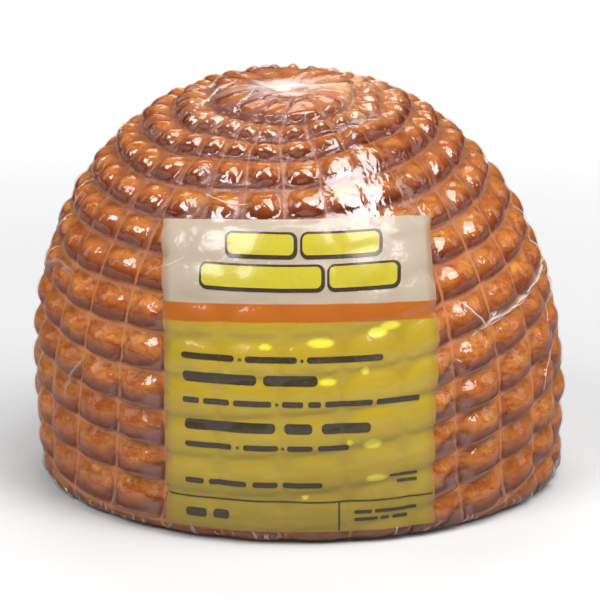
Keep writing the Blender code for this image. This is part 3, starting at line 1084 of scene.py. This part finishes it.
class Panel:
    """The printed film's surface: its depths on a grid, and its points at any place."""

    def __init__(self, film):
        across = np.linspace(0, 1, PANEL_COLUMNS + 1)
        up = np.linspace(0, 1, PANEL_ROWS + 1)
        self.across, self.up = np.meshgrid(across, up)
        x, z = self.at(self.across, self.up)
        hit = film.depth(x, z)
        bridged = spread(hit, PANEL_BRIDGES)
        self.depth = np.minimum(hit, bridged) - PANEL_OVER_FILM
        # How deep the film lies in a groove, which paints shade on the yellow print
        self.valley = np.clip(hit / RING_DEPTH, 0, 1)
        # Ovals where the print is pressed, which get a painted highlight
        self.pressed = np.zeros_like(x)
        for middle, height, wide, high in np.array(PRESSED_HIGHLIGHT_SPOTS) / 1000:
            away = np.hypot((x - middle) / wide, (z - height) / high)
            self.pressed = np.maximum(self.pressed, smooth_step((SPOT_REACH - away) / SPOT_EDGE))
        self.inside = np.minimum(x - panel_left(z), panel_right(z) - x)

    def sides(self, up):
        """The left edge and the width of the panel, at a share of its height."""
        level = PANEL_BOTTOM + (PANEL_TOP - PANEL_BOTTOM) * up
        return panel_left(level), panel_right(level) - panel_left(level)

    def at(self, across, up):
        """Shares across and up the panel, as a place across the front and a height."""
        left, width = self.sides(up)
        x = left + width * across
        return x, PANEL_BOTTOM + (panel_top(x) - PANEL_BOTTOM) * up

    def points(self, x, z, over):
        """Points on the panel, or a little over it."""
        up = (z - PANEL_BOTTOM) / (panel_top(x) - PANEL_BOTTOM)
        edge, width = self.sides(up)
        column = np.clip((x - edge) / width * PANEL_COLUMNS, 0, PANEL_COLUMNS - PANEL_LAST)
        row = np.clip(up * PANEL_ROWS, 0, PANEL_ROWS - PANEL_LAST)
        left, low = column.astype(int), row.astype(int)
        right_share, high_share = column - left, row - low
        nearer, farther = (
            self.depth[low, side] * (1 - high_share) + self.depth[low + 1, side] * high_share
            for side in (left, left + 1)
        )
        depth = nearer * (1 - right_share) + farther * right_share
        return round_edge(on_dome(*front_place(x, z), depth - over))


def sheets_mesh(name, grids, features):
    """A mesh over one or more grids of points, with a value of each feature at each point."""
    places, corners = [], []
    count = 0
    for points in grids:
        rows, columns = points.shape[:2]
        corners.append(quads(count + np.arange(rows * columns).reshape(rows, columns)))
        places.append(points.reshape(-1, 3))
        count += rows * columns
    mesh = bpy.data.meshes.new(name)
    mesh.from_pydata(np.concatenate(places).tolist(), [], np.concatenate(corners).tolist())
    joined = {key: np.concatenate([np.ravel(part) for part in parts]) for key, parts in features.items()}
    add_features(mesh, joined)
    mesh.shade_smooth()
    return mesh


# Columns in a bar's rounded end, and the step between the others
BAR_END_COLUMNS = 6
BAR_COLUMN = 0.0005


def bar(panel, left, right, low, high, corner, over):
    """A bar with rounded ends that lies on the panel."""
    corner = min(corner, (high - low) / 2)
    end = corner * (1 - np.cos(np.linspace(0, math.pi / 2, BAR_END_COLUMNS)))
    middle = np.linspace(left + corner, right - corner, max(3, round((right - left) / BAR_COLUMN)))
    x = np.concatenate([left + end, middle[1:-1], right - end[::-1]])
    missing = np.clip(corner - np.minimum(x - left, right - x), 0, corner)
    half = (high - low) / 2 - corner + np.sqrt(corner**2 - missing**2)
    up = np.linspace(-1, 1, max(3, round((high - low) / BAR_COLUMN) + 1))
    z = (low + high) / 2 + half[None, :] * up[:, None]
    return panel.points(np.broadcast_to(x, z.shape), z, over)


# Plain banners on the panel, in millimetres: left, right, bottom, top and corner
BANNERS = (
    (-18.0, -2.0, 71.9, 76.5, 1.3),
    (0.1, 18.6, 71.9, 76.5, 1.3),
    (-24.2, 4.6, 64.4, 69.3, 1.3),
    (6.6, 23.0, 64.4, 69.3, 1.3),
)
BANNER_EDGE = 0.55
BANNER_DROP = 0.35

# Rows of dark bars, in millimetres: bottom, top and corner, then the left and right end of each bar
BAR_ROWS = (
    (46.9, 48.4, 0.7, ((-29.2, -16.4), (-13.7, -1.2), (1.2, 19.6))),
    (41.3, 43.8, 1.0, ((-29.0, -11.1), (-9.4, 3.8))),
    (36.1, 37.5, 0.5, ((-28.8, -24.9), (-23.9, -17.6), (-16.6, -7.4))),
    (36.1, 37.5, 0.5, ((-4.8, 0.3), (1.5, 4.6), (5.6, 17.1), (18.1, 28.8))),
    (29.4, 31.9, 1.0, ((-28.6, -6.5), (-4.3, 2.5), (4.8, 16.6))),
    (24.9, 26.3, 0.6, ((-28.4, -17.1), (-14.2, -5.8), (-3.6, 2.6), (3.9, 11.5))),
    (15.4, 16.8, 0.6, ((-28.4, -23.9), (-22.7, -13.5), (-12.0, -5.9), (-4.7, 5.0))),
    (6.5, 8.8, 0.8, ((-28.3, -23.3), (-21.7, -17.8))),
    (17.2, 18.0, 0.35, ((21.4, 28.4),)),
    (15.5, 16.3, 0.35, ((23.4, 28.4),)),
    (8.2, 9.1, 0.4, ((12.8, 17.1), (17.8, 28.2))),
    (6.2, 7.1, 0.4, ((12.8, 18.6), (19.3, 21.4), (22.2, 26.0))),
)
DOTS = ((-15.0, 47.5), (0.0, 47.5), (-6.1, 36.7), (-15.6, 25.5), (-4.7, 25.5))
DOT_REACH = 0.4
RULES = ((-33.2, 32.2, 11.35, 11.75, 0.1), (8.9, 9.3, 3.7, 11.4, 0.1))
INK_OVER = 0.0001


def build_marks(panel):
    """Plain banners, bars and rules, where the pack has its words."""
    wide, drop = BANNER_EDGE / 1000, BANNER_DROP / 1000
    edges, fills = [], []
    for left, right, low, high, corner in np.array(BANNERS) / 1000:
        edge = (left - wide, right + wide + drop, low - wide - drop, high + wide, corner + wide)
        edges.append(bar(panel, *edge, INK_OVER))
        fills.append(bar(panel, left, right, low, high, corner, 2 * INK_OVER))
    placed = [(*end, low, high, corner) for low, high, corner, ends in BAR_ROWS for end in ends]
    placed += [(x - DOT_REACH, x + DOT_REACH, z - DOT_REACH, z + DOT_REACH, DOT_REACH) for x, z in DOTS]
    bars = [bar(panel, *sizes, INK_OVER) for sizes in np.array([*placed, *RULES]) / 1000]
    dark, yellow = ink("dark_ink", *DARK_INK), ink("yellow_ink", *YELLOW_INK)
    marks = (("banner_edges", edges, dark), ("banners", fills, yellow), ("bars", bars, dark))
    for name, grids, look in marks:
        place_piece(name, sheets_mesh(name, grids, {}), [look], "printed_panel")


# Cross-section of a fold, as places across its half width and heights
FOLD_PLACES = (-1.0, -0.7, -0.4, -0.15, 0.05, 0.25, 0.5, 0.75, 1.0)
FOLD_HEIGHTS = (-0.25, 0.1, 0.45, 0.9, 1.0, 0.75, 0.35, 0.1, -0.25)
FOLD_STEP = 0.0006
FOLD_LEAST_STEPS = 6
FOLD_END = 0.03
FOLD_SWAY = (0.25, 400, 31)

# Larger folds by pixels of the photograph, each with its width and height in mm, and its paleness, partly a
# painted sheen
SEEN_FOLDS = (
    (((472, 336), (484, 325), (500, 313), (515, 303), (530, 286), (539, 272), (543, 258)), 3.4, 1.2, 0.9),
    (((484, 328), (502, 317), (518, 306), (532, 290)), 0.9, 0.7, 1.0),
    (((460, 302), (473, 314), (486, 327)), 1.3, 0.8, 1.0),
    (((541, 262), (536, 244), (528, 228), (517, 208), (507, 188)), 1.5, 0.35, 0.6),
    (((546, 266), (549, 290), (548, 318), (551, 340)), 1.3, 0.35, 0.6),
    (((66, 398), (67, 384), (73, 370), (84, 358)), 1.8, 0.3, 0.25),
    (((46, 268), (56, 260), (66, 266), (76, 276)), 3.0, 0.3, 0.2),
    (((555, 335), (549, 355), (544, 372), (543, 393)), 1.0, 0.35, 0.6),
    (((205, 193), (222, 203), (240, 205), (252, 203)), 0.9, 0.35, 0.9),
    (((186, 256), (170, 265), (163, 266)), 0.8, 0.3, 0.9),
    (((78, 190), (84, 184), (89, 180), (95, 179)), 0.7, 0.3, 0.9),
    (((59, 225), (64, 220), (69, 215), (73, 213)), 0.7, 0.3, 0.9),
    (((47, 258), (50, 251), (54, 248), (59, 246)), 0.8, 0.3, 0.8),
    (((121, 133), (122, 125), (127, 119), (133, 118)), 0.7, 0.3, 0.8),
    (((108, 137), (114, 135), (120, 134)), 0.6, 0.25, 0.8),
    (((97, 168), (101, 161), (106, 157)), 0.6, 0.25, 0.8),
    (((74, 208), (77, 200), (76, 192)), 0.7, 0.25, 0.7),
    (((482, 155), (486, 162), (489, 168)), 0.8, 0.3, 0.9),
)

# Small folds by chance, from the top downward and from the base upward: how many, from where along the
# side and which way, the points of a line and how far it sways round the axis, then the least and most
# of length, start, width and height
SMALL_FOLDS = (
    (6, TOP, -1, 4, 0.04, (0.006, 0.016), (0.002, 0.02), (0.0008, 0.0016), (0.0003, 0.0006)),
    (90, 0, 1, 3, 0.012, (0.001, 0.0032), (0.0004, 0.0015), (0.0005, 0.0012), (0.0002, 0.0004)),
)
SMALL_FOLD_PALE = 0.6


def fold(film, spine, width, height):
    """A strip of film that stands up along a line, and runs out at both ends."""
    length = np.linalg.norm(np.diff(spine, axis=0), axis=1).sum()
    count = max(FOLD_LEAST_STEPS, round(length / FOLD_STEP))
    line = even_line(spine, count)
    places, normals = np.array([film.nearest(point) for point in line]).swapaxes(0, 1)
    side = np.cross(normals, np.gradient(line, axis=0))
    side /= np.linalg.norm(side, axis=1, keepdims=True)
    taper = np.sin(np.linspace(FOLD_END, math.pi - FOLD_END, count)) ** 0.5
    sway, sway_scale, sway_seed = FOLD_SWAY
    size = taper * (1 + sway * noise_at(places, sway_scale, sway_seed))
    points = np.empty((count, len(FOLD_PLACES), 3))
    for row in range(count):
        for column, (across, up) in enumerate(zip(FOLD_PLACES, FOLD_HEIGHTS)):
            foot, normal = film.nearest(places[row] + side[row] * across * width / 2 * size[row])
            points[row, column] = foot + normal * height * up * size[row]
    points[..., 2] = np.maximum(points[..., 2], 0)
    # Milkiest along the crest: partly a painted sheen
    crest = np.broadcast_to(np.abs(FOLD_HEIGHTS), (count, len(FOLD_PLACES))) ** 2
    return points, crest


def even_line(points, count):
    """Points at even steps along a line, with its corners eased."""
    points = np.array(points, dtype=float)
    for _ in range(2):
        near, far = points[:-1] * 0.75 + points[1:] * 0.25, points[:-1] * 0.25 + points[1:] * 0.75
        eased = np.stack([near, far], axis=1).reshape(-1, 3)
        points = np.concatenate([points[:1], eased, points[-1:]])
    along = np.concatenate([[0], np.cumsum(np.linalg.norm(np.diff(points, axis=0), axis=1))])
    wanted = np.linspace(0, along[-1], count)
    return np.stack([np.interp(wanted, along, points[:, axis]) for axis in range(3)], axis=1)


def small_folds(film):
    """Small folds of spare film, placed by a seeded draw."""
    draw = np.random.default_rng(SEED + 1)
    for count, end, way, knots, sway, lengths, starts, widths, heights in SMALL_FOLDS:
        for _ in range(count):
            turn, length = draw.uniform(0, 2 * math.pi), draw.uniform(*lengths)
            along = end + way * (draw.uniform(*starts) + np.linspace(0, length, knots))
            spine = round_edge(on_dome(turn + draw.normal(0, sway, knots), along, 0))
            yield fold(film, spine, draw.uniform(*widths), draw.uniform(*heights))


def build_folds(film):
    """Folds of spare film: the larger ones that show, and small ones round the crown and the base."""
    made = []
    for pixels, width, height, pale in SEEN_FOLDS:
        spine = np.array([film.seen_at(*pixel) for pixel in pixels])
        made.append((*fold(film, spine, width / 1000, height / 1000), pale))
    made += [(*strip, SMALL_FOLD_PALE) for strip in small_folds(film)]
    grids, crests, pales = zip(*made)
    evenly_pale = [np.full_like(crest, pale) for crest, pale in zip(crests, pales)]
    mesh = sheets_mesh("film_folds", grids, {"haze": crests, "pale": evenly_pale})
    place_piece("film_folds", mesh, [film_surface("folded_film", FOLD_HAZE)], "wrapped_ham")


# The floor: how far it reaches and lies below the base, its two greys, and how it glows further out
FLOOR_REACH = 4.0
FLOOR_DROP = 0.0003
FLOOR_TONES = ((0.48, 0.48, 0.48, 1), (0.46, 0.46, 0.46, 1))
FLOOR_CLOUDS = 3.0
FLOOR_GLOW = (0.12, 0.8, 0.02, 0.75)


def add_floor():
    mesh = bpy.data.meshes.new("floor")
    corners = [(FLOOR_REACH * x, FLOOR_REACH * y, 0) for x, y in ((-1, -1), (1, -1), (1, 1), (-1, 1))]
    mesh.from_pydata(corners, [], [(0, 1, 2, 3)])
    floor = add_object("floor", mesh)
    floor.location.z = -FLOOR_DROP
    look = Shading("pale_floor")
    sockets = {
        "Base Color": look.mix(look.noise(FLOOR_CLOUDS), *FLOOR_TONES),
        "Roughness": 0.7,
        "Emission Color": (1, 1, 1, 1),
        "Emission Strength": look.step(look.from_axis(), *FLOOR_GLOW),
    }
    mesh.materials.append(look.finish_body(sockets))
    floor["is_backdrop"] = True


# Softboxes: name, azimuth from the front towards the right, rise, distance, width, height, watts
SOFTBOXES = (
    ("key_left", -38, 42, 0.95, 0.39, 0.40, 7.3),
    ("key_right", 42, 44, 0.95, 0.39, 0.40, 6.5),
    ("top", 40, 67, 0.95, 0.64, 0.50, 8.6),
    ("left", -95, 28, 1.1, 0.3, 0.7, 1.3),
    ("right", 95, 28, 1.1, 0.3, 0.7, 1.3),
    ("back", 180, 50, 1.0, 0.6, 0.4, 3.6),
)
AIM = Vector((0, 0, 0.05))
STUDIO_GLOW = 0.1


def add_lights():
    for name, turn, lift, distance, width, height, watts in SOFTBOXES:
        light = bpy.data.lights.new(name, "AREA")
        light.shape = "RECTANGLE"
        light.size = width
        light.size_y = height
        light.energy = watts
        softbox = add_object(name, light)
        turn, lift = math.radians(turn), math.radians(lift)
        away = Vector((math.sin(turn) * math.cos(lift), -math.cos(turn) * math.cos(lift), math.sin(lift)))
        softbox.location = AIM + away * distance
        softbox.rotation_euler = away.to_track_quat("Z", "Y").to_euler()
    world = bpy.data.worlds.new("studio")
    world.use_nodes = True
    background = world.node_tree.nodes["Background"]
    background.inputs["Color"].default_value = (1, 1, 1, 1)
    background.inputs["Strength"].default_value = STUDIO_GLOW
    bpy.context.scene.world = world


def add_camera():
    camera = add_object("camera", bpy.data.cameras.new("camera"))
    camera.data.lens = CAMERA_LENS
    camera.data.sensor_width = SENSOR_WIDTH
    camera.data.sensor_fit = "HORIZONTAL"
    camera.location, _, _, ahead = camera_view()
    camera.rotation_euler = ahead.to_track_quat("-Z", "Y").to_euler()
    bpy.context.scene.camera = camera


def build_ham():
    """The meat and the clear film over it."""
    surface = NetSurface()
    looks = {"haze": surface.haze, "pale": surface.gather_haze.clip(0, 1)}
    looks |= {"pressed": surface.pressed(), "doubled": surface.doubled()}
    film = net_mesh("clear_film", surface.film_points(), surface, looks)
    width = 2 * math.pi * radius_at(surface.along) / MERIDIANS / surface.merged
    features = {"pillow_width": width, "from_pole": TOP - surface.along, "cream": surface.cream()}
    meat = net_mesh("ham_meat", surface.meat_points(), surface, features)
    place_piece("ham_meat", meat, [smoked_surface(), cut_surface()], "wrapped_ham")
    wrap = film_surface("clear_film", WRAP_HAZE)
    place_piece("clear_film", film, [wrap, wrap], "wrapped_ham")
    return Film(film)


def build_panel(film):
    panel = Panel(film)
    x, z = panel.at(panel.across, panel.up)
    features = {"valley": [panel.valley], "pressed": [panel.pressed], "inside": [panel.inside]}
    mesh = sheets_mesh("printed_film", [panel.points(x, z, 0)], features)
    place_piece("printed_film", mesh, [print_surface()], "printed_panel")
    return panel


def write_sizes():
    boxes = {"cad": CAD_BOX, "scene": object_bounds()}
    plain = {name: [[float(value) for value in corner] for corner in box] for name, box in boxes.items()}


film = build_ham()
panel = build_panel(film)
build_marks(panel)
build_folds(film)
add_floor()
add_lights()
add_camera()
bpy.context.scene.view_settings.view_transform = "Standard"
write_sizes()
